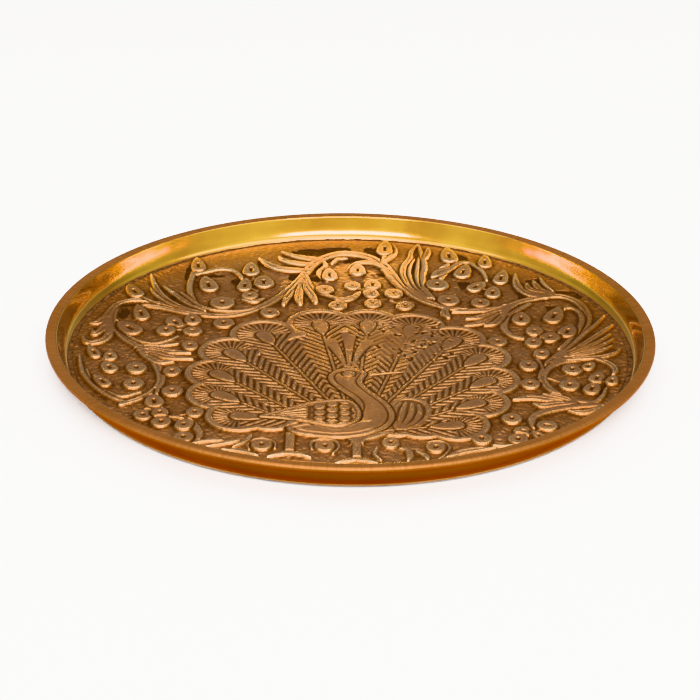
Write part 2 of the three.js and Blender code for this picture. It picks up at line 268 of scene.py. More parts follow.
def tail_fan():
    """Draws the tail, and gives the distance to its outline: negative is inside."""
    x, y = GRID_X, GRID_Y
    edge = np.full(x.shape, FAR)
    for cx, cy, radius in [feather[:3] for feather in FEATHERS] + FAN_FLOOR:
        edge = np.minimum(edge, np.hypot(x - cx, y - cy) - radius)
    nearest = np.full(x.shape, FAR)
    pattern = np.zeros(x.shape)
    for cx, cy, _, foot_x, foot_y in FEATHERS:
        length, ux, uy = feather_line(cx, cy, foot_x, foot_y)
        along = (x - cx) * ux + (y - cy) * uy
        aside = np.abs((x - cx) * uy - (y - cy) * ux)
        off = np.hypot(np.maximum(np.maximum(-along, along - length), 0), aside)
        pattern = np.where(off < nearest, feather_ridges(along, aside), pattern)
        nearest = np.minimum(nearest, off)
        ends = np.array([(cx, cy), (foot_x, foot_y)], float)
        win, d = edge_distance(ends, np.array([6.5, 2.0]), 3.0)
        edge[win] = np.minimum(edge[win], d)
    relief[:] = np.where(edge < 0.3, pattern * smooth((0.3 - edge) / 0.5), relief)
    border = np.abs(edge - BAND / 2) - BAND / 2
    lift((slice(None), slice(None)), border, 0.95, shoulder=0.6)
    shift = 0.35 * (EYE_LENGTH - EYE_WIDTH)
    for cx, cy, _, foot_x, foot_y in FEATHERS:
        _, ux, uy = feather_line(cx, cy, foot_x, foot_y)
        tilt = math.degrees(math.atan2(-ux, uy))
        drop(cx + ux * shift, cy + uy * shift, EYE_WIDTH, EYE_LENGTH, tilt, 0.9, 0)
    return edge


WORN = (18, 2, 19, 17)  # middle and half sizes of the part where the casting is poor
WORN_HEIGHT = 0.55  # what is left there is drawn towards this height
PITS = 75
DEEPEST = -0.2


def worn_patch():
    """The feathers right of the crest, which are shallow and full of small holes."""
    cx, cy, half_x, half_y = WORN
    away = np.hypot((GRID_X - cx) / half_x, (GRID_Y - cy) / half_y)
    worn = 0.6 * smooth((1.0 - away) / 0.5)
    relief[:] = relief * (1 - worn) + WORN_HEIGHT * worn
    rng = np.random.default_rng(11)
    for _ in range(PITS):
        x = cx + half_x * rng.uniform(-0.85, 0.85)
        y = cy + half_y * rng.uniform(-0.85, 0.85)
        lean = rng.uniform(-1.2, 1.2)
        ends = np.array([(x, y), (x + lean, y + rng.uniform(0.3, 1.8))])
        win, d = edge_distance(ends, np.array([0.5, 0.25]) * rng.uniform(0.5, 1.2), 0.6)
        relief[win] = np.maximum(relief[win] - 0.9 * smooth(0.6 - d / 0.5), DEEPEST)


# The bird, drawn as closed outlines and ribs
CREST = [
    [(-1.5, -17), (-3.6, -8), (-6.6, 2)],
    [(1, -17), (2.8, -7), (5.6, 1.5)],
    [(-0.3, -17), (-0.4, -5), (-0.6, 6)],
]
BEAK = [(3.5, -23.5), (9, -22.4), (14, -21.2), (19, -20.2)]
EYE_PLACE = (-0.4, -22.8)
BIRD_EYE_WIDTH = 4.2
BODY = [
    (-0.5, -17.8), (3.6, -19.4), (5.4, -22.3), (4.6, -25.5), (4, -28.5), (5.4, -32.5), (8.8, -38),
    (12, -43.5), (13.9, -50), (13.2, -56.5), (9.6, -62), (3.5, -65.8), (-3, -67.2), (-10, -66.6),
    (-17, -64.4), (-19, -61), (-14, -58), (-5, -55.5), (1, -51), (2.6, -45.5), (0.9, -40), (-3, -34.5),
    (-6, -29.5), (-7, -25), (-5, -20.3),
]
WING = [
    (-28, -53.2), (-20.5, -48), (-13, -43.4), (-6, -41.3), (-0.5, -41.3), (2.4, -45), (3.7, -51),
    (2.6, -56.2), (-1, -59.4), (-5, -60), (-10, -58.8), (-15, -56.7), (-21, -54.7),
]
THIGH = [
    (-2, -66), (4, -66.5), (9, -63.5), (14, -62), (9.5, -66), (5, -69), (3.8, -73), (0.8, -73), (0.2, -69),
]
LEGS = [(-17.8, -57, -77.5), (2.3, -69, -81)]  # x, top and foot
TOES = [(-6.4, -2.3), (-3.2, -0.5), (0, 0.3), (3.2, -0.5), (6.4, -2.3)]  # from the foot of a leg
SHELL = [
    (14.5, -61), (12.8, -53), (13.2, -46), (15.2, -41.6), (18.6, -40), (22.2, -41.6), (24.5, -46),
    (24.2, -52), (21.2, -57.2), (17.4, -60.4),
]
SHELL_RIBS = [
    [(14.6, -60.5), (13.6, -54), (14, -47.5), (16, -42.6)],
    [(14.9, -60.5), (15.8, -54), (16.6, -48), (17.6, -42.6)],
    [(15.3, -60.5), (18, -54.5), (19.3, -48.5), (19.6, -43)],
    [(15.8, -60.5), (20, -55.5), (21.8, -49.8), (21.6, -44)],
    [(14.2, -60), (12.6, -53), (12.9, -46), (15.2, -41), (18.6, -39.6), (22.4, -41.2), (24.4, -45.5),
     (24.2, -51.5), (21, -57.2), (17, -60.6)],
]
BODY_LINE = 2.0  # the double outline runs this far inside the edge
WING_LINE = 1.5
QUILL_ROOT = (-29.5, -53.6)  # the quills of the wing spread from here
QUILL_STEP = 6.5  # degrees between quills
SCALE_PITCH = 3.9  # spacing of the scales on the wing
SCALE_ORIGIN = (-11.2, -60.0)
SPLIT_X = -12.4  # quills to the left of this, scales to the right, and a gap between


def wing_texture(x, y):
    """Quills that spread from the tip of the wing, and rows of scales nearer to the body."""
    angle = np.degrees(np.arctan2(y - QUILL_ROOT[1], x - QUILL_ROOT[0]))
    quills = smooth((0.5 + 0.5 * np.cos(2 * math.pi * angle / QUILL_STEP) - 0.2) / 0.6)
    column = (x - SCALE_ORIGIN[0]) / SCALE_PITCH
    row = (y - SCALE_ORIGIN[1]) / SCALE_PITCH + 0.5 * (np.floor(column) % 2)
    dx = (np.mod(column, 1) - 0.5) * SCALE_PITCH
    dy = (np.mod(row, 1) - 0.5) * SCALE_PITCH
    scales = smooth((0.53 * SCALE_PITCH - np.hypot(dx, dy)) / 0.7)
    scaled = smooth((x - SPLIT_X + 1.2) / 0.8)
    gap = smooth(np.abs(x - SPLIT_X) / 0.9 - 0.2)
    return (quills * (1 - scaled) + scales * scaled) * gap


def bird():
    for points in CREST:
        rib(points, 0.8, 2.4, 4.4, rise=0.85, moat=0.6)
    rib(BEAK, 1.8, 1.0, 0.4, rise=0.9, moat=0.7)

    win, d = outline_distance(SHELL, 3.0)
    lift(win, d, 0.25, moat=0.6)
    for points in SHELL_RIBS:
        rib(points, 0.9, 1.9, 1.0, rise=0.85)

    win, d = outline_distance(THIGH, 2.5)
    lift(win, d, 0.9, moat=0.6)
    for x, top, foot in LEGS:
        rib([(x, top), (x, (top + foot) / 2), (x, foot)], 2.7, 2.7, 2.9, rise=0.95, moat=0.6)
        toes = [(x + dx, foot + dy) for dx, dy in TOES]
        rib(toes, 0.6, 2.4, 0.6, rise=1.0, moat=0.5)

    win, d = outline_distance(BODY, 4.0)
    lift(win, d, 0.95, moat=0.8, crown=0.1)
    groove_inside(win, d, BODY_LINE, 0.55, 0.6)
    relief[win] += 0.25 * smooth((-d - 2.6) / 3.0)
    drop(*EYE_PLACE, BIRD_EYE_WIDTH, BIRD_EYE_WIDTH, 0, 1.15, 0)

    win, d = outline_distance(WING, 4.0)
    lift(win, d, 1.1, moat=0.8)
    groove_inside(win, d, WING_LINE, 0.5, 0.55)
    inner = smooth((-d - WING_LINE - 0.3) / 0.5)
    relief[win] -= inner * 0.7 * (1 - wing_texture(GRID_X[win], GRID_Y[win]))


# Vines: widths at the start, middle and end, a groove depth, then the points
VINES = [
    # the long stems, with a line down their backs
    (1.2, 2.4, 2.2, 0.4, [(-72, 28.8), (-65, 27.2), (-57, 23.6), (-48, 21.3), (-40, 22.2), (-33, 27),
     (-26.5, 35), (-21, 46), (-17, 57)]),
    (1.4, 2.1, 1.6, 0.4, [(-80.5, 28), (-81, 20), (-79.5, 11), (-75.5, 2.5), (-69.5, -5), (-65, -13),
     (-61.8, -21), (-60.3, -29), (-61.5, -36), (-65.5, -42), (-71, -46.5)]),
    (2.4, 3.2, 2, 0.4, [(-17, 57), (-14.5, 65), (-10.5, 72.5), (-4, 77.6), (2.5, 76.8), (7.5, 73), (11, 68),
     (13.5, 61), (16, 53), (19.5, 44.5), (25.5, 36), (33.5, 29.5)]),
    (1.8, 2.5, 1.8, 0.4, [(33.5, 29.5), (41, 28.6), (48, 29.2), (54.5, 32.5), (60.5, 37.2), (67, 40.4),
     (73.5, 41.5), (78.3, 37.5), (80.6, 31), (80.8, 23), (78.8, 14), (75, 4), (70.3, -4.5), (66, -11),
     (63, -18.5), (61.8, -25.5), (63.8, -32.5), (68, -38), (72.5, -41.5)]),
    # loops and side stems, left
    (1, 1.3, 1.6, 0, [(-29.5, 33), (-32, 29), (-37, 25.8), (-43, 25.2), (-49, 27), (-53.5, 31.5), (-56, 39),
     (-57, 48), (-56.5, 58)]),
    (1.2, 1.7, 2.4, 0.3, [(-47, 21.5), (-56, 25.5), (-64, 30), (-70, 33), (-76, 33.3), (-80.5, 30),
     (-82.5, 24), (-83.5, 18.5)]),
    (0.8, 1.1, 0.6, 0, [(-79.5, 17), (-76.5, 8), (-71.5, 1), (-65, -1.8), (-60.5, 0.5), (-57.5, 4)]),
    (1, 1.5, 1.2, 0, [(-66, 28.5), (-71, 29.5), (-74, 27), (-73.5, 24)]),
    (1.8, 1.7, 0.8, 0, [(-55.5, 57), (-51.5, 59.5), (-47, 61.8), (-42.5, 60.5), (-39.8, 56.5),
     (-38.6, 52.3)]),
    (0.7, 1, 0.6, 0, [(-66.5, 30.5), (-71, 34.5), (-74, 38)]),
    (0.8, 1.5, 1, 0, [(-85, -22), (-82.5, -30.5), (-77.5, -37.5), (-71.5, -41), (-66, -38)]),
    (0.8, 1.3, 0.8, 0, [(-88.5, -12), (-86, -24), (-81, -34), (-75, -41.5), (-69.5, -45)]),
    (1, 1.9, 1, 0, [(-48.8, -50), (-50, -54.5), (-47.5, -59.5), (-45.2, -65.5), (-46, -71.5)]),
    (0.6, 1.2, 0.6, 0, [(-56.5, -54.5), (-52.5, -54.8), (-49.8, -57)]),
    (0.7, 1, 0.6, 0, [(-60.5, -33), (-60.8, -39), (-61, -42)]),
    # inside the top arch
    (1, 1.3, 0.8, 0, [(-10.5, 71.5), (-9.3, 66), (-11.5, 61), (-11, 56), (-8.5, 52.3)]),
    (1.4, 1.9, 1, 0, [(14.3, 58.5), (12, 64), (8.2, 68.5), (4.2, 69.6), (1, 67.3), (-0.3, 62.5),
     (0.8, 58)]),
    (0.8, 1.5, 0.5, 0, [(-7, 68), (-5, 72), (-1.5, 73.2)]),
    (1.2, 1.4, 0.9, 0, [(-16, 56), (-14.5, 48), (-11.5, 42.5), (-7, 38.5), (-4.5, 36.5)]),
    (1, 1.2, 1, 0, [(11.3, 68), (11.8, 74), (12.3, 78)]),
    # right of the tulip
    (1.2, 1.5, 1, 0, [(29, 57), (31.8, 63.5), (35, 69)]),
    (1, 1.7, 0.8, 0, [(31, 52), (33.5, 60), (37, 67), (40.8, 71), (44.8, 68), (47.5, 61.5), (48.3, 54.5)]),
    (1.4, 1.9, 1.2, 0, [(62, 34.5), (56.5, 27.5), (52.8, 20.5), (52, 13), (54.5, 7.5), (59, 5.3)]),
    (0.9, 1.5, 1.2, 0, [(69, -2), (73, 4.5), (76.8, 13), (79, 21), (78.6, 28), (75.8, 31.5), (72.8, 30)]),
    (1.2, 1.9, 1, 0, [(62.5, -22), (65, -16), (70, -11.6), (76.5, -9.8)]),
    (1, 1.6, 0.8, 0, [(63.8, -32), (66.5, -36.5), (71, -39.8), (76.5, -41), (79.5, -37), (81.5, -31)]),
    (1.4, 2.3, 1.4, 0, [(79, -43), (72.5, -43.6), (65.5, -45.5), (59.5, -48.7), (56.3, -53),
     (56.3, -58.5)]),
    (0.8, 1, 0.6, 0, [(61, -8), (62, -14), (62.6, -19)]),
    # along the front
    (0.7, 1, 0.6, 0, [(22.8, -72.5), (24.2, -69.3), (27.5, -68.6), (29.8, -71.5), (29, -76), (26.5, -80)]),
    (0.8, 1.7, 0.8, 0, [(15, -73.2), (17.5, -74.5), (18.2, -78), (17.5, -81)]),
    (0.7, 1, 0.6, 0, [(-11, -74), (-11.2, -70), (-8, -67.8), (-4.4, -69), (-3.2, -73), (-4.8, -77)]),
    (0.7, 1, 0.6, 0, [(-29.8, -75), (-30.2, -70.6), (-26.5, -68.2), (-22.8, -70), (-22.2, -74)]),
    (0.6, 1, 0.5, 0, [(8.5, -73), (7.6, -77), (9.5, -80.5)]),
]

# Leaf fingers: widths at the foot, the middle and the tip, then the points from foot to tip
LEAVES = [
    # the crown on the top arch
    (3, 2.6, 0.5, [(-12, 71), (-17, 73), (-21.5, 75.2), (-25.8, 79)]),
    (2.4, 2.3, 0.5, [(-14.5, 66.5), (-19.5, 67.8), (-24.3, 70.3), (-26.5, 74.5)]),
    (2, 3.2, 0.6, [(-15.8, 61.5), (-21, 61.6), (-26.5, 63.5), (-30.5, 67.5), (-33.5, 72.5)]),
    # the leaf that hangs under it
    (0.8, 2.3, 1.2, [(-17.5, 54), (-19.5, 46), (-22, 38), (-23.3, 31)]),
    (0.8, 2.5, 1.3, [(-17.2, 52), (-18, 44), (-18.3, 37), (-17.5, 31.5)]),
    (0.8, 2.3, 1.2, [(-16.6, 52), (-15.5, 45), (-13.5, 39), (-12.2, 33)]),
    (1, 2.8, 0.6, [(-6, 37.2), (-3, 35.8), (0.5, 37.5), (3.2, 42.8)]),
    # the tulip
    (1, 1.8, 0.6, [(26, 38), (21, 47), (18.6, 57), (18.8, 66), (21.2, 74), (22, 81), (24.6, 87.5)]),
    (0.8, 1.1, 0.6, [(27, 38), (22.5, 48), (20.8, 58), (21.2, 66), (22.8, 73)]),
    (0.8, 1.3, 0.6, [(28, 38), (24.2, 49), (23.4, 58), (23.9, 67), (24.6, 75)]),
    (0.9, 1.7, 0.6, [(29, 37.5), (26, 47), (25.4, 57), (26.4, 66), (26, 75), (25.3, 82), (24.8, 87)]),
    (1, 2, 0.5, [(26.2, 72), (27.8, 79), (28.4, 84.5)]),
    (1.2, 1.8, 0.5, [(11.5, 69), (14.6, 75.5), (16, 81.5), (14.6, 89)]),
    (1.5, 3.8, 0.8, [(29.5, 57.5), (32.5, 62), (37.5, 66.5)]),
    # the crown on the right arch
    (3.2, 2.8, 0.6, [(68, 40.8), (62.5, 43), (59.4, 48.5), (58.6, 54.5), (58.8, 61)]),
    (2.8, 2.4, 0.6, [(70.5, 43), (66.8, 46.5), (65.5, 51), (64.8, 55)]),
    (1.4, 2.2, 0.5, [(66, 44.5), (62.8, 48), (62.3, 52.5)]),
    (0.8, 1.4, 0.4, [(71, 46), (68.5, 52), (67.3, 58.5)]),
    # the leaf inside the right arch
    (1.2, 3, 0.8, [(57, 32.5), (50, 29.6), (42.5, 28), (35, 26.3)]),
    (1, 2.8, 0.8, [(56, 31), (49.5, 26.2), (44, 22.6), (39.6, 21)]),
    (1, 3, 1, [(55, 29.5), (49.8, 23), (44.5, 18.2), (38.8, 15.2)]),
    (0.9, 2.6, 1, [(54, 28), (51.2, 21.5), (48.8, 17.5), (45.6, 15.8)]),
    (1, 2.5, 1.5, [(33, 29.5), (32.2, 26), (33.3, 22)]),
    # the striped leaf on the right
    (0.8, 1.5, 0.6, [(67, -9), (73, 0), (78.5, 10), (83, 17.5), (87, 25.5)]),
    (0.8, 1.8, 0.6, [(67.5, -9.2), (75, -1.5), (81, 6.5), (86, 13.5), (89, 18)]),
    (0.8, 1.8, 0.6, [(68, -9.4), (76, -3), (82.5, 3.5), (87.5, 10.5)]),
    (0.8, 1.8, 0.6, [(68.5, -9.6), (76.5, -4.8), (83, 0.5), (88, 6.5)]),
    (0.8, 1.8, 0.6, [(69, -9.8), (76, -6.7), (82.5, -3.2), (87, 1)]),
    (1.2, 2.1, 0.6, [(66, -12.5), (71, -10), (77, -8.9), (83, -7.5), (87, -5), (89.4, -1.5)]),
    (1.2, 2.1, 0.6, [(80, -9), (84, -12), (86, -17), (84.5, -22)]),
    # the leaf at lower right
    (0.8, 3.1, 0.9, [(71, -41.5), (64, -40), (57.5, -38.3), (51.5, -40)]),
    (0.8, 2.1, 0.6, [(71, -40.8), (66, -37.5), (61, -35.8)]),
    (0.8, 2.8, 0.8, [(71, -42), (65.5, -42.4), (60.5, -43.8), (57.5, -42.7)]),
    (1, 2.4, 0.6, [(78.5, -44.5), (73, -48), (68, -47.2)]),
    (0.6, 2.4, 0.5, [(29, -78.5), (33.5, -75.2), (38.5, -73.2), (44, -72.3)]),
    (0.5, 1.3, 0.4, [(43, -70.6), (46, -70.9), (49.5, -70.2)]),
    # the crown on the left arch
    (2.2, 2.8, 0.6, [(-83.5, 19), (-85.3, 14.5), (-88, 13.5)]),
    (2, 2.5, 0.5, [(-82.5, 16), (-83.4, 9), (-85.6, 5), (-86.6, 8.5)]),
    (1.6, 2.8, 0.6, [(-81.5, 12), (-80.8, 4), (-83, -0.6), (-87, -1.8), (-89.3, 3)]),
    # the striped leaf on the left
    (0.8, 1.6, 0.6, [(-71.5, -3.5), (-66, -4), (-60, -2.8), (-55, -1.2)]),
    (0.8, 3.1, 0.9, [(-71, -5), (-64.5, -6.3), (-59, -8), (-52.5, -9)]),
    (0.8, 3.1, 0.9, [(-70, -7), (-64.5, -9.6), (-59.5, -12.2), (-51.5, -13.6)]),
    (0.8, 2.7, 0.8, [(-69, -9), (-65.4, -12.8), (-62, -16), (-57.5, -15.8)]),
    # the sheaf at upper left
    (0.8, 1.9, 0.8, [(-51, 23.5), (-57.5, 27.5), (-63, 33), (-67, 40), (-69.5, 48), (-71.3, 56)]),
    (0.8, 1.8, 0.6, [(-50, 25), (-56, 31), (-61, 38), (-66, 45.5)]),
    (0.7, 1.5, 0.6, [(-51, 27.5), (-55.5, 34), (-59.5, 40.5)]),
    (0.7, 1.3, 0.5, [(-55, 24.8), (-62.5, 30.5), (-67.8, 37.5), (-70.5, 44)]),
    (0.8, 2, 0.6, [(-37.6, 35), (-33.5, 33.4), (-30.3, 36)]),
    # small strokes at the lower left
    (0.5, 1.6, 0.5, [(-47, -71.8), (-41.5, -69.6), (-37, -70.4)]),
    (0.5, 1.6, 0.5, [(-43, -74), (-37.5, -71.4), (-32.5, -69.6)]),
    (0.6, 1.5, 0.5, [(-29.6, -66), (-31, -69.8), (-34.6, -73.6)]),
    (0.6, 1.7, 0.5, [(-38, -75.4), (-32, -76.3), (-27, -79)]),
    (0.6, 1.6, 0.5, [(20, -75), (22.6, -77.6), (23.4, -80.6)]),
    (0.8, 1.8, 0.6, [(-58, -46.5), (-60, -49), (-63.5, -49.6)]),
]

# Berries and buds: place, width, length, and the lean of the pointed end, in degrees to the left
DROPS = [
    (12.2, 83, 5.6, 13, -4), (35.6, 77, 6, 13, 4), (40.2, 62, 5.6, 12, -14), (48.5, 71.4, 4.8, 11, -4),
    (53.6, 57, 5, 12, -12), (44.3, 48.4, 5.2, 9, -35), (49.8, 43.6, 5.3, 9, -8), (-7.8, 57.5, 5, 10, 4),
    (2.3, 62.2, 5.2, 9.5, 0), (-55.3, 65, 5, 12, 8), (-50.5, 47.6, 6, 12.5, 14), (-36, 61.6, 5.6, 11, 4),
    (-37.5, 47.3, 4.9, 10, -2), (-31, 50.3, 6.6, 9.5, 8), (-76, 41, 5, 11.5, 25),
    (-74.5, 10, 6.6, 11.5, 38), (-71.8, 22.4, 5, 12, 15), (69.8, 24.6, 6, 13, -18),
    (73.2, 11.8, 5.8, 9.5, -20), (77, -31.5, 5.2, 8, -20), (-84.2, -9, 3.8, 9.5, 25),
    (-79, -30.5, 4.2, 9.5, 35), (-77.8, -20.4, 5, 7.5, 28), (79.4, -23.8, 5, 7.5, -20),
    (-78.4, -12, 4.4, 6.5, 10), (0.5, 48, 5.2, 6, 0), (7.6, 49.2, 5.4, 7.5, 0), (-9.3, 44.6, 5.8, 6.5, 20),
    (7, 41.4, 5, 6.4, 10), (15, 41.8, 5.9, 6.8, 0), (-4.5, 31, 5.8, 6.6, 0), (7.6, 33, 5.2, 6.6, 0),
    (18.8, 31.2, 5.6, 6.6, -20), (30.5, 50, 7.6, 8.4, 0), (34, 36.4, 7.2, 7.8, 0), (45, 34.6, 6.2, 6.8, 0),
    (-27.8, 24.2, 6, 6.6, 10), (-35.3, 38.4, 5.4, 6, 0), (-44.5, 31.8, 7.8, 8.8, 0),
    (-59.4, 14.8, 5.9, 8, 30), (-53.7, 17.4, 5.5, 7.5, 10), (-62, 8.6, 6.2, 6.8, 0),
    (-53, 8.2, 5.8, 6.4, 60), (-43, 15, 6.6, 7.2, 0), (-53, -3.2, 5, 6.4, 20), (58.2, 21.6, 6, 9, -8),
    (62, 11.6, 5.4, 6.6, -10), (66.8, 6.8, 6.2, 7, -40), (61, 2.8, 5.2, 7, -15), (49, 3, 6, 6.4, 30),
    (63, -6, 5, 6.4, -10), (58, -15, 5.8, 6.8, 0), (57.5, -28.6, 6, 6.4, 0), (72, -17.6, 6.2, 6.8, 0),
    (70, -29.2, 6.2, 6.8, -20), (84, -25.5, 4, 6.5, -20), (77.6, -15, 3.8, 6, -30),
    (60.5, -57.6, 5.8, 6.2, 60), (50, -53, 6, 6.4, 0), (53, -61.4, 5.4, 5.8, 40), (40, -66.6, 6.2, 6.5, 0),
    (51, -66.6, 5.8, 6.1, 0), (57.4, -64, 3.4, 6, 30), (12.5, -70, 4.8, 6.4, 0), (26, -72.5, 5.6, 6, 0),
    (-7.3, -72.6, 5.8, 6.2, 0), (-26.2, -72.2, 6, 6.4, 0), (-69, -20.6, 6.2, 7.4, 20),
    (-57.3, -22.8, 5.6, 6, 0), (-68.7, -32, 6.2, 6.8, 0), (-56, -37, 6.4, 6.8, 0), (-61, -44.4, 5.6, 8, 10),
    (-63.5, -53.8, 5.6, 6.2, 20), (-58.6, -52, 5, 5.6, 0), (-57.6, -58.2, 5.8, 6.2, 0),
    (-50.5, -59.8, 5.2, 6.6, -10), (-50, -68, 5.8, 6.2, 0), (-47.8, -51.4, 5.2, 6, 0),
]


# Twigs that tie berries together: a middle, and how far out it reaches for berries
TWIGS = [
    (-57.5, 9.8, 9), (4.2, 44.8, 8.5), (64.5, 8.3, 8.5), (47.8, 46.6, 7), (-34.6, 53.8, 9), (-61, -49, 8),
    (79.5, -26.5, 7), (55, -62.5, 9), (-80, -15, 8), (-33, 43, 7), (64, -24, 9), (14, 36, 7),
    (-55, -54.5, 8),
]

STEM = 1.35  # how much fuller the stems, leaves and berries are than the widths above
LEAF = 1.25
VEINED = 1.7  # leaves wider than this have a vein down the middle
BERRY = 1.08
TWIG_STOP = 2.2  # a twig ends this far from the middle of its berry


def twigs(hub_x, hub_y, reach):
    for x, y, *_ in DROPS:
        away = math.hypot(x - hub_x, y - hub_y)
        if away < reach:
            share = max(1 - TWIG_STOP / away, 0.2)
            end = (hub_x + share * (x - hub_x), hub_y + share * (y - hub_y))
            rib([(hub_x, hub_y), end], 1.2, 0.8, 1.2, rise=0.6)


def vines():
    for start, middle, end, groove, points in VINES:
        rib(points, STEM * start, STEM * middle, STEM * end, moat=0.6, groove=groove)
    for start, middle, end, points in LEAVES:
        rib(points, LEAF * start, LEAF * middle, LEAF * end, rise=0.92, moat=0.4)
        if middle > VEINED:
            path = spline(points)
            engrave(path[len(path) // 4:-len(path) // 5], 0.3, 0.5)
    for x, y, width, length, tilt in DROPS:
        drop(x, y, BERRY * width, BERRY * length, tilt)
    for hub in TWIGS:
        twigs(*hub)


vines()
fan_edge = tail_fan()
worn_patch()
bird()


def blurred(field, radius, passes=3):
    """A soft blur: running means along each axis."""
    reach = max(int(round(radius / GRID)), 1)
    for _ in range(passes):
        for axis in (0, 1):
            before = np.repeat(np.take(field, [0], axis), reach + 1, axis)
            after = np.repeat(np.take(field, [-1], axis), reach, axis)
            total = np.cumsum(np.concatenate([before, field, after], axis), axis)
            high = np.take(total, range(2 * reach + 1, total.shape[axis]), axis)
            low = np.take(total, range(0, total.shape[axis] - 2 * reach - 1), axis)
            field = (high - low) / (2 * reach + 1)
    return field


def pebbles(seed, size):
    """Even random swelling of about the given size, between -1 and 1."""
    rng = np.random.default_rng(seed)
    field = blurred(rng.standard_normal(GRID_X.shape), size)
    return np.clip(field / (2.5 * field.std()), -1, 1)


# ---------------- the embossed disc
# Hollows between the leaves where the ground is deepest and painted black as shade: middle and half sizes
HOLLOWS = [
    (-12, 79.5, 8.5, 3.6), (-5, 82, 5, 2.6), (7, 77.5, 2.8, 6.5), (2.5, 71.8, 5, 3), (-17, 70, 5, 1.6),
    (-25, 66, 5, 1.4), (-20.3, 56.5, 1.9, 4), (-12.5, 54.6, 3.6, 2), (-12, 66.5, 1.5, 5),
    (12, 59.6, 3, 1.6), (22, 67, 1.3, 6), (39.5, 75, 2.6, 3.6), (40, 51, 2, 3.5), (60.5, 42, 1.8, 4.6),
    (65.5, 55.6, 3, 1.6), (74, 45.6, 6, 1.7), (69.5, 32, 2, 2.2), (78.5, 43, 3, 2), (-58, 59, 1.3, 6),
    (-49.5, 56.5, 4, 1.6), (-40.5, 52, 1.6, 3), (-32, 69, 1.8, 3), (-76.5, 30.5, 3.6, 1.5),
    (-77.5, 23, 1.5, 4), (-85, 9, 1.4, 3), (-62, 36, 1, 4), (34, 31, 5, 0.9), (80, -30, 1.5, 4),
]
HOLLOW_DEPTH = 0.4
HOLLOW_PAINTED_SHADE = 0.75  # how much darker a hollow is painted, as shade, on the scale of the patina values
GROUND_BELOW = 0.25  # what is drawn lower than this is ground
GROUND_GRIT = 0.17  # how far the sandy ground goes up and down, in millimetres
RAISED_GRIT = 0.05
GRIT_SIZE = 0.25
SWELL = 0.05  # slow waves over the whole disc
SWELL_SIZE = 3.0
NARROW = 0.75  # cavities are sought at these two widths
WIDE = 2.0


def panel_heights():
    """The face of the disc in millimetres over the ground, and its cavities.

    A cavity value is below 0 in a hollow, where patina stays and the deepest hollows are painted shade, and
    above 0 on an edge that is rubbed and carries a painted highlight, as the back of the disc does."""
    ground = relief < GROUND_BELOW
    grit = np.where(ground, GROUND_GRIT, RAISED_GRIT) * pebbles(3, GRIT_SIZE)
    rise = VINE_HEIGHT + (TAIL_HEIGHT - VINE_HEIGHT) * smooth(0.5 - fan_edge / 3.0)
    height = relief * rise + grit + SWELL * pebbles(4, SWELL_SIZE)
    height = 0.5 * height + 0.5 * blurred(height, GRID, 1)
    drawn = relief + 0.8 * grit
    cavity_and_painted_light = 0.75 * (drawn - blurred(drawn, NARROW)) + 0.25 * (drawn - blurred(drawn, WIDE))
    # the back of the disc gets more contrast and a lighter colour, painted highlight and shade for the
    # front light it mirrors; the ground at the front is made lighter
    cavity_and_painted_light *= 0.68 + 0.32 * smooth((GRID_Y - 15) / 40)
    cavity_and_painted_light += 0.12 * smooth((GRID_Y - 25) / 50)
    cavity_and_painted_light += 0.1 * smooth((-GRID_Y - 58) / 8) * ground
    ragged = 0.25 * pebbles(5, 0.5)
    for x, y, half_x, half_y in HOLLOWS:
        away = np.hypot((GRID_X - x) / half_x, (GRID_Y - y) / half_y) + ragged
        hollow = smooth((1.25 - away) / 0.35) * ground
        # the hollows are painted black here: painted shade
        cavity_and_painted_light -= HOLLOW_PAINTED_SHADE * hollow
        height -= HOLLOW_DEPTH * hollow
    return height, cavity_and_painted_light


def panel_cells():
    """The grid points inside the disc, and the square faces between them."""
    columns = len(AXIS)
    middle = AXIS[:-1] + GRID / 2
    inside = np.hypot(*np.meshgrid(middle, middle)) < PANEL_RADIUS
    rows, cols = np.nonzero(inside)
    corner = rows * columns + cols
    quads = np.stack([corner, corner + 1, corner + columns + 1, corner + columns], 1)
    used, index = np.unique(quads, return_inverse=True)
    return used, index.reshape(quads.shape)


def link_object(name, data):
    obj = bpy.data.objects.new(name, data)
    bpy.context.scene.collection.objects.link(obj)
    return obj


def make_object(name, verts, corners, sizes):
    """A smooth object from its points, the corners of all its faces in one row, and their sizes."""
    starts = np.concatenate([[0], np.cumsum(sizes)[:-1]])
    mesh = bpy.data.meshes.new(name)
    mesh.vertices.add(len(verts))
    mesh.vertices.foreach_set("co", np.ravel(verts))
    mesh.loops.add(len(corners))
    mesh.loops.foreach_set("vertex_index", corners.astype(np.int32))
    mesh.polygons.add(len(sizes))
    mesh.polygons.foreach_set("loop_start", starts.astype(np.int32))
    mesh.update(calc_edges=True)
    mesh.validate()
    mesh.polygons.foreach_set("use_smooth", np.ones(len(mesh.polygons), bool))
    return link_object(name, mesh)


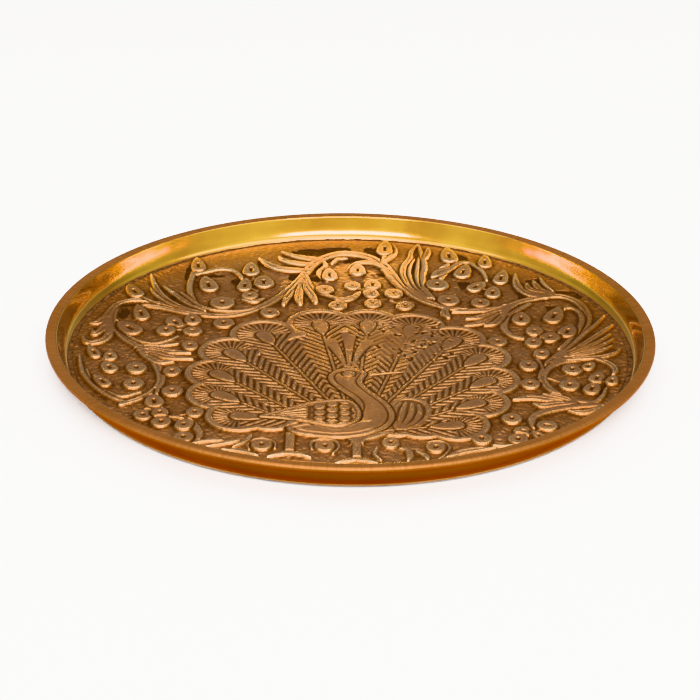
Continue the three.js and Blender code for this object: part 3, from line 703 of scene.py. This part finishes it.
def panel_mesh():
    """The embossed disc: a face of small squares cut to a circle, a side and a bottom."""
    height, cavity_and_painted_light = panel_heights()
    used, quads = panel_cells()
    x = GRID_X.ravel()[used]
    y = GRID_Y.ravel()[used]
    z = height.ravel()[used]
    edge = np.nonzero(np.bincount(quads.ravel()) < 4)[0]
    scale = PANEL_RADIUS / np.hypot(x[edge], y[edge])
    x[edge] *= scale
    y[edge] *= scale
    z[edge] = 0.0
    edge = edge[np.argsort(np.arctan2(y[edge], x[edge]))]
    top = np.stack([x * MM, y * MM, (z + GROUND_Z) * MM], 1)
    bottom = np.stack([x[edge] * MM, y[edge] * MM, np.full(len(edge), PANEL_UNDERSIDE * MM)], 1)
    verts = np.vstack([top, bottom])

    below = len(top) + np.arange(len(bottom))
    sides = np.stack([edge, below, np.roll(below, -1), np.roll(edge, -1)], 1)
    corners = np.concatenate([quads.ravel(), sides.ravel(), below[::-1]])
    sizes = np.concatenate([np.full(len(quads) + len(sides), 4), [len(below)]])
    obj = make_object("relief_panel_embossed", verts, corners, sizes)

    for name, field in (("cavity_and_painted_light", cavity_and_painted_light), ("raised", relief)):
        values = np.zeros(len(verts), np.float32)
        values[:len(top)] = field.ravel()[used]
        obj.data.attributes.new(name, "FLOAT", "POINT").data.foreach_set("value", values)
    # one flat map for the face, and all that is hidden shrunk into a free corner of it
    spots = verts[corners][:, :2] / (2.04 * PANEL_RADIUS * MM) + 0.5
    hidden = np.arange(len(corners)) >= quads.size
    spots[hidden] = (spots[hidden] - 0.5) * 0.1 + 0.94
    obj.data.uv_layers.new(name="OFBake").data.foreach_set("uv", spots.ravel())
    return obj


# ---------------- turned shapes
TURN_STEPS = 360
SAME = 1e-6  # points nearer than this are one point


def bezier(a, b, c, d, count):
    t = np.linspace(0, 1, count)[:, None]
    a, b, c, d = (np.array(p, float) for p in (a, b, c, d))
    return a * (1 - t) ** 3 + 3 * b * t * (1 - t) ** 2 + 3 * c * t * t * (1 - t) + d * t ** 3


def arc(cx, cy, radius, start, end, count=8):
    angle = np.radians(np.linspace(start, end, count))
    return np.stack([cx + radius * np.cos(angle), cy + radius * np.sin(angle)], 1)


def profile_rings(sections):
    """The points of a profile without repeats, and the material slot of each stretch between two."""
    rings, slots = [], []
    for slot, points in sections:
        for r, z in points:
            if rings and abs(rings[-1][0] - r) < SAME and abs(rings[-1][1] - z) < SAME:
                continue
            if rings:
                slots.append(slot)
            rings.append((r, z))
    return rings, slots


def lathe(name, sections, steps=TURN_STEPS):
    """Turns a profile about Z. A section is (material slot, points), and starts where the last ended.

    A profile that starts off the axis is a closed ring."""
    rings, slots = profile_rings(sections)
    angle = np.linspace(0, 2 * math.pi, steps, endpoint=False)
    verts, first = [], []
    for r, z in rings:
        first.append(len(verts))
        if r < SAME:
            verts.append((0, 0, z * MM))
        else:
            verts.extend((r * MM * math.cos(a), r * MM * math.sin(a), z * MM) for a in angle)
    stretches = [(k, k + 1, slot) for k, slot in enumerate(slots)]
    if rings[0][0] > SAME:
        stretches.append((len(rings) - 1, 0, slots[-1]))
    faces, face_slots = [], []
    for a, b, slot in stretches:
        for i in range(steps):
            j = (i + 1) % steps
            if rings[a][0] < SAME:
                faces.append((first[a], first[b] + j, first[b] + i))
            elif rings[b][0] < SAME:
                faces.append((first[a] + i, first[a] + j, first[b]))
            else:
                faces.append((first[a] + i, first[a] + j, first[b] + j, first[b] + i))
            face_slots.append(slot)
    obj = make_object(name, verts, np.concatenate(faces), [len(face) for face in faces])
    obj.data.polygons.foreach_set("material_index", face_slots)
    return obj


UNDERSIDE, OUTER_WALL, RIM_TOP, INNER_WALL = range(4)  # material slots of the dish
LIP_RADIUS = RIM_RADIUS - RIM_WIDTH
LIP_ROUNDING = 0.25
BASE_CORNER = BASE_RADIUS - 0.6


def dish_mesh():
    """The dish: underside, leaning wall, rounded flat rim, inner wall with its fillet, and seat."""
    lip_z = HEIGHT - RIM_FALL
    edge_r, edge_z = RIM_RADIUS - RIM_EDGE_RADIUS, HEIGHT - RIM_EDGE_RADIUS
    knee = (RIM_RADIUS - 3.4, HEIGHT - 4.2)
    foot = (RECESS_RADIUS, FOOT_Z)
    base = [(0, 0), (20, 0), (45, 0), (70, 0), (BASE_CORNER, 0)]
    wall = bezier((BASE_CORNER, 0), (BASE_RADIUS + 4.2, 0.9), (RIM_RADIUS - 4.6, 3.6), knee, 26)
    edge = arc(edge_r, edge_z, RIM_EDGE_RADIUS, -90, 5)
    flare = bezier(knee, (RIM_RADIUS - 2.9, HEIGHT - 3.1), (RIM_RADIUS - 1.9, edge_z - 1.25), edge[0], 12)
    shoulder = arc(edge_r, edge_z, RIM_EDGE_RADIUS, 5, 84)
    flat = np.linspace(shoulder[-1], (LIP_RADIUS + LIP_ROUNDING, lip_z + 0.03), 12)
    lip = arc(LIP_RADIUS + LIP_ROUNDING, lip_z - LIP_ROUNDING, 0.28, 86, 176)
    inside = bezier(lip[-1], (LIP_RADIUS - 1.15, HEIGHT - 4.6), (LIP_RADIUS - 1.3, FOOT_Z + 0.95), foot, 34)
    seat = [foot, (RECESS_RADIUS, SEAT_Z), (60, SEAT_Z), (30, SEAT_Z), (0, SEAT_Z)]
    return lathe("dish_body", [
        (UNDERSIDE, base), (OUTER_WALL, wall), (OUTER_WALL, flare), (OUTER_WALL, edge),
        (RIM_TOP, shoulder), (RIM_TOP, flat), (INNER_WALL, lip), (INNER_WALL, inside), (UNDERSIDE, seat)])


SEAM_STEPS = 1440
SEAM_GAP = 0.02
SEAM_TOP = FOOT_Z - 0.45
SEAM_LUMP = 0.35
LUMP_RUN = 9  # steps over which a lump of solder rises and falls


def seam_mesh():
    """The solder: a lumpy ring in the groove between the disc and the wall."""
    inner, outer = PANEL_RADIUS + SEAM_GAP, RECESS_RADIUS - SEAM_GAP
    bottom = SEAT_Z + 0.3
    profile = [(inner, bottom), (outer, bottom), (outer, SEAM_TOP), (outer - 0.5, SEAM_TOP - 0.22),
               (inner + 0.5, SEAM_TOP - 0.3), (inner, SEAM_TOP - 0.12)]
    obj = lathe("solder_seam_ring", [(0, profile)], SEAM_STEPS)
    rng = np.random.default_rng(7)
    raw = rng.standard_normal(SEAM_STEPS + LUMP_RUN - 1)
    lumps = np.convolve(raw, np.ones(LUMP_RUN) / LUMP_RUN, "valid")
    for i, vert in enumerate(obj.data.vertices):
        if vert.co.z > (SEAM_TOP - 0.6) * MM:
            vert.co.z += SEAM_LUMP * MM * float(lumps[i % SEAM_STEPS])
    return obj


# ---------------- materials
BRASS_LIGHT = (0.80, 0.47, 0.045)
BRASS_DEEP = (0.60, 0.28, 0.02)
UNDERSIDE_LIGHT = (0.62, 0.33, 0.1)
UNDERSIDE_DEEP = (0.5, 0.24, 0.06)
WALL_CLEAN = (0.9, 0.9, 0.9)  # the outside's cloudy tarnish, which its colour is multiplied by
WALL_DULL = (0.75, 0.72, 0.66)
# the outside's colour by height: dark, and darkest at the foot, painted shade for the shadowed table it
# mirrors
OUTER_TONES = [(0.0, (0.09, 0.02, 0.003)), (0.4, (0.14, 0.04, 0.006)), (0.9, (0.21, 0.076, 0.013))]
OUTER_EDGE_TINT = (0.85, 0.46, 0.2, 1)
RIM_TONES = [(0.3, (0.2, 0.085, 0.026)), (0.65, (0.34, 0.15, 0.054))]
# patina in the hollows, through brown, to rubbed brass on the edges, whose palest cream tones are a painted
# highlight
RELIEF_TONES = [
    (0.0, (0.07, 0.028, 0.01)), (0.16, (0.13, 0.05, 0.015)), (0.33, (0.29, 0.12, 0.034)),
    (0.55, (0.4, 0.176, 0.056)), (0.75, (0.54, 0.3, 0.12)), (1.0, (0.82, 0.58, 0.34)),
]
SOLDER_TONES = [(0.35, (0.03, 0.015, 0.008)), (0.7, (0.22, 0.1, 0.035))]


def new_material(name, metallic):
    material = bpy.data.materials.new(name)
    material.use_nodes = True
    shader = material.node_tree.nodes["Principled BSDF"]
    shader.inputs["Metallic"].default_value = metallic
    return material, material.node_tree, shader


def math_node(tree, operation, *values):
    node = tree.nodes.new("ShaderNodeMath")
    node.operation = operation
    for socket, value in zip(node.inputs, values):
        if isinstance(value, (int, float)):
            socket.default_value = value
        else:
            tree.links.new(value, socket)
    return node.outputs[0]


def weighted(tree, *terms):
    """The sum of values, each times its weight."""
    total = 0.0
    for value, weight in terms:
        total = math_node(tree, "MULTIPLY_ADD", value, weight, total)
    return total


def ramp(tree, source, stops, mode="LINEAR"):
    """Colours or plain numbers at given places along a value."""
    node = tree.nodes.new("ShaderNodeValToRGB")
    node.color_ramp.interpolation = mode
    elements = node.color_ramp.elements
    while len(elements) < len(stops):
        elements.new(0.5)
    for element, (place, tone) in zip(elements, stops):
        element.position = place
        element.color = (*tone, 1) if isinstance(tone, tuple) else (tone, tone, tone, 1)
    tree.links.new(source, node.inputs[0])
    return node.outputs[0]


def object_place(tree):
    return tree.nodes.new("ShaderNodeTexCoord").outputs["Object"]


def separate(tree, vector):
    node = tree.nodes.new("ShaderNodeSeparateXYZ")
    tree.links.new(vector, node.inputs[0])
    return node.outputs


def polar(tree, around, along):
    """Coordinates that run round the tray: angle times around, radius times along."""
    x, y, z = separate(tree, object_place(tree))
    angle = math_node(tree, "ARCTAN2", y, x)
    radius = math_node(tree, "SQRT", weighted(tree, (x, x), (y, y)))
    joined = tree.nodes.new("ShaderNodeCombineXYZ")
    for socket, value, scale in zip(joined.inputs, (angle, radius, z), (around, along, along)):
        tree.links.new(math_node(tree, "MULTIPLY", value, scale), socket)
    return joined.outputs[0]


def noise(tree, coordinates, scale, detail=3.0, roughness=0.5):
    node = tree.nodes.new("ShaderNodeTexNoise")
    node.inputs["Scale"].default_value = scale
    node.inputs["Detail"].default_value = detail
    node.inputs["Roughness"].default_value = roughness
    tree.links.new(coordinates, node.inputs["Vector"])
    return node.outputs["Fac"]


def attribute(tree, name):
    node = tree.nodes.new("ShaderNodeAttribute")
    node.attribute_name = name
    return node.outputs["Fac"]


def bump(tree, shader, height, strength, distance):
    node = tree.nodes.new("ShaderNodeBump")
    node.inputs["Strength"].default_value = strength
    node.inputs["Distance"].default_value = distance
    tree.links.new(height, node.inputs["Height"])
    tree.links.new(node.outputs[0], shader.inputs["Normal"])


def brass_metal(name, light, deep, rough_low, rough_high, spin, spin_depth, wave, coat):
    """Turned brass: fine lines round the axis, faint tarnish, slow waves and uneven polish."""
    material, tree, shader = new_material(name, 1.0)
    lines = noise(tree, polar(tree, 6.0, spin), 1.0, 4.0, 0.6)
    cloud = noise(tree, object_place(tree), 28.0, 4.0, 0.55)
    polish = weighted(tree, (cloud, 0.6), (lines, 0.4))
    tree.links.new(ramp(tree, cloud, [(0.35, deep), (0.65, light)]), shader.inputs["Base Color"])
    tree.links.new(ramp(tree, polish, [(0.3, rough_low), (0.7, rough_high)]), shader.inputs["Roughness"])
    shader.inputs["Coat Weight"].default_value = coat
    shader.inputs["Coat Roughness"].default_value = 0.06
    waves = noise(tree, object_place(tree), 45.0, 2.0)
    bump(tree, shader, weighted(tree, (waves, wave), (lines, spin_depth)), 1.0, 1.0)
    return material


def underside_metal():
    return brass_metal("turned_underside", UNDERSIDE_LIGHT, UNDERSIDE_DEEP, rough_low=0.3, rough_high=0.45,
                       spin=2600.0, spin_depth=0.00003, wave=0.0, coat=0.2)


def polished_metal():
    return brass_metal("polished_wall", BRASS_LIGHT, BRASS_DEEP, rough_low=0.1, rough_high=0.2,
                       spin=1200.0, spin_depth=0.000006, wave=0.0006, coat=1.0)


def outer_metal():
    """The outside of the wall: satin, dark, and darker towards the foot, painted shade for the shadowed
    table it mirrors.
    """
    material = brass_metal("outer_wall", WALL_CLEAN, WALL_DULL, rough_low=0.26, rough_high=0.36,
                           spin=1400.0, spin_depth=0.00001, wave=0.0003, coat=0.0)
    tree = material.node_tree
    shader = tree.nodes["Principled BSDF"]
    _, _, z = separate(tree, object_place(tree))
    # painted shade: the colour darkens towards the foot
    tone = ramp(tree, math_node(tree, "DIVIDE", z, HEIGHT * MM), OUTER_TONES)
    tinted = tree.nodes.new("ShaderNodeVectorMath")
    tinted.operation = "MULTIPLY"
    tree.links.new(shader.inputs["Base Color"].links[0].from_socket, tinted.inputs[0])
    tree.links.new(tone, tinted.inputs[1])
    tree.links.new(tinted.outputs[0], shader.inputs["Base Color"])
    shader.inputs["Specular Tint"].default_value = OUTER_EDGE_TINT
    return material


def rim_metal():
    """The rim's flat top: matt, with short strokes of a file across it."""
    material, tree, shader = new_material("brushed_rim", 1.0)
    strokes = noise(tree, polar(tree, 80.0, 90.0), 1.0, 4.0, 0.65)
    cloud = noise(tree, object_place(tree), 45.0, 3.0)
    tone = weighted(tree, (strokes, 0.6), (cloud, 0.4))
    tree.links.new(ramp(tree, tone, RIM_TONES), shader.inputs["Base Color"])
    tree.links.new(ramp(tree, tone, [(0.3, 0.7), (0.7, 0.56)]), shader.inputs["Roughness"])
    bump(tree, shader, strokes, 0.5, 0.0001)
    return material


def relief_metal():
    """Embossed brass: dark patina in the hollows, rubbed bright with a painted cream highlight, and waxed
    on the high spots.
    """
    material, tree, shader = new_material("antiqued_brass", 1.0)
    place = object_place(tree)
    cloud = noise(tree, place, 60.0, 4.0, 0.6)
    grain = noise(tree, place, 2200.0, 2.0, 0.6)
    # patina and rubbing, plus painted highlight on the edges and the back of the disc and painted shade in
    # the hollows
    wear_and_painted_light = weighted(tree, (attribute(tree, "cavity_and_painted_light"), 1.15), (attribute(tree, "raised"), 0.09),
                    (cloud, 0.35), (grain, 0.25), (0.06, 1.0))
    rough = ramp(tree, wear_and_painted_light, [(0.05, 0.55), (0.35, 0.33), (0.8, 0.24)])
    wax = ramp(tree, wear_and_painted_light, [(0.15, 0.0), (0.5, 0.6)])
    tree.links.new(ramp(tree, wear_and_painted_light, RELIEF_TONES), shader.inputs["Base Color"])
    tree.links.new(rough, shader.inputs["Roughness"])
    tree.links.new(wax, shader.inputs["Coat Weight"])
    shader.inputs["Coat Roughness"].default_value = 0.2
    bump(tree, shader, grain, 1.0, 0.00016)
    return material


def solder_metal():
    """Rough, blackened solder with a few brown spots."""
    material, tree, shader = new_material("blackened_solder", 0.7)
    lumps = noise(tree, object_place(tree), 700.0, 4.0, 0.7)
    tree.links.new(ramp(tree, lumps, SOLDER_TONES), shader.inputs["Base Color"])
    tree.links.new(ramp(tree, lumps, [(0.3, 0.75), (0.7, 0.5)]), shader.inputs["Roughness"])
    bump(tree, shader, lumps, 0.8, 0.0003)
    return material


def table_material():
    material, tree, shader = new_material("pale_table", 0.0)
    cloud = noise(tree, object_place(tree), 3.0, 2.0)
    tree.links.new(ramp(tree, cloud, [(0.3, 0.86), (0.7, 0.88)]), shader.inputs["Base Color"])
    shader.inputs["Roughness"].default_value = 0.85
    return material


# ---------------- the tray
dish = dish_mesh()
for material in (underside_metal(), outer_metal(), rim_metal(), polished_metal()):
    dish.data.materials.append(material)
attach(dish, "root")
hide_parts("dish")

panel = panel_mesh()
panel.data.materials.append(relief_metal())
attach(panel, "root")
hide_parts("relief_panel")

seam = seam_mesh()
seam.data.materials.append(solder_metal())
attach(seam, "root")
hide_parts("solder_seam")

# ---------------- table, light and camera
TABLE_HALF = 4.0  # metres
TABLE_CELLS = 8
TABLE_DROP = 0.0002  # a hair below the tray, so the two don't share a plane


def table():
    side = np.linspace(-TABLE_HALF, TABLE_HALF, TABLE_CELLS + 1)
    verts = [(x, y, -TABLE_DROP) for y in side for x in side]
    row = len(side)
    first = np.array([r * row + c for r in range(TABLE_CELLS) for c in range(TABLE_CELLS)])
    quads = np.stack([first, first + 1, first + row + 1, first + row], 1)
    obj = make_object("table_top", verts, quads.ravel(), [4] * len(quads))
    obj.data.materials.append(table_material())
    return obj


table()


def softbox(name, place, aim, width, depth, power):
    """A rectangular light; place, aim and size are in metres, power in watts."""
    light = bpy.data.lights.new(name, "AREA")
    light.shape = "RECTANGLE"
    light.size = width
    light.size_y = depth
    light.energy = power
    lamp = link_object(name, light)
    lamp.location = place
    lamp.rotation_euler = (Vector(aim) - Vector(place)).to_track_quat("-Z", "Y").to_euler()


softbox("overhead_softbox", (0.1, 0.25, 1.5), (0, 0.1, 0), 1.6, 1.2, 15)
softbox("front_softbox", (0.05, -1.2, 0.85), (0, 0, 0), 1.3, 0.6, 52)

# Strength of the light from all round, by the height of its direction
ROOM_HEIGHTS = [(0.0, 0.9), (0.06, 0.85), (0.2, 0.38), (0.45, 0.38), (0.8, 0.7)]
ROOM_AHEAD = [(0.0, 0.0), (0.25, 0.3), (0.8, 0.55)]  # and what the side in front of the tray adds
ROOM_AHEAD_FROM = [(0.05, 0.0), (0.2, 1.0)]  # but only over the horizon
ROOM_COLOUR = (1.0, 0.985, 0.96, 1)


def soft_room():
    """Light from all round: bright at the horizon and overhead, and brighter in front."""
    world = bpy.data.worlds.new("soft_room")
    bpy.context.scene.world = world
    world.use_nodes = True
    tree = world.node_tree
    _, y, z = separate(tree, tree.nodes.new("ShaderNodeTexCoord").outputs["Generated"])
    forward_share = math_node(tree, "MULTIPLY_ADD", y, -0.8, 0.25)
    ahead = math_node(tree, "MULTIPLY", ramp(tree, forward_share, ROOM_AHEAD, "EASE"),
                      ramp(tree, z, ROOM_AHEAD_FROM, "EASE"))
    total = math_node(tree, "ADD", ramp(tree, z, ROOM_HEIGHTS, "EASE"), ahead)
    background = tree.nodes["Background"]
    background.inputs["Color"].default_value = ROOM_COLOUR
    tree.links.new(total, background.inputs["Strength"])


soft_room()

# A long lens at the height of someone seated at the table
LENS = 102.9
SENSOR = 36.0
DISTANCE = 6.61 * RIM_RADIUS * MM
ELEVATION = math.radians(24.53)
ROLL = math.radians(0.73)
RIM_MIDDLE = Vector((0, 0, HEIGHT * MM))
AIM = Vector((-0.1, -21.0, HEIGHT)) * MM


def set_camera():
    """A camera in front of the tray that looks at AIM, with a slight roll."""
    data = bpy.data.cameras.new("camera")
    data.lens = LENS
    data.sensor_width = SENSOR
    camera = link_object("camera", data)
    spot = Vector((0, -math.cos(ELEVATION), math.sin(ELEVATION))) * DISTANCE + RIM_MIDDLE
    forward = (AIM - spot).normalized()
    right = forward.cross(Vector((0, 0, 1))).normalized()
    up = right.cross(forward)
    tilted_right = right * math.cos(ROLL) + up * math.sin(ROLL)
    tilted_up = up * math.cos(ROLL) - right * math.sin(ROLL)
    turn = Matrix((tilted_right, tilted_up, -forward)).transposed()
    camera.matrix_world = Matrix.Translation(spot) @ turn.to_4x4()
    bpy.context.scene.camera = camera


set_camera()
bpy.context.scene.view_settings.view_transform = "Khronos PBR Neutral"
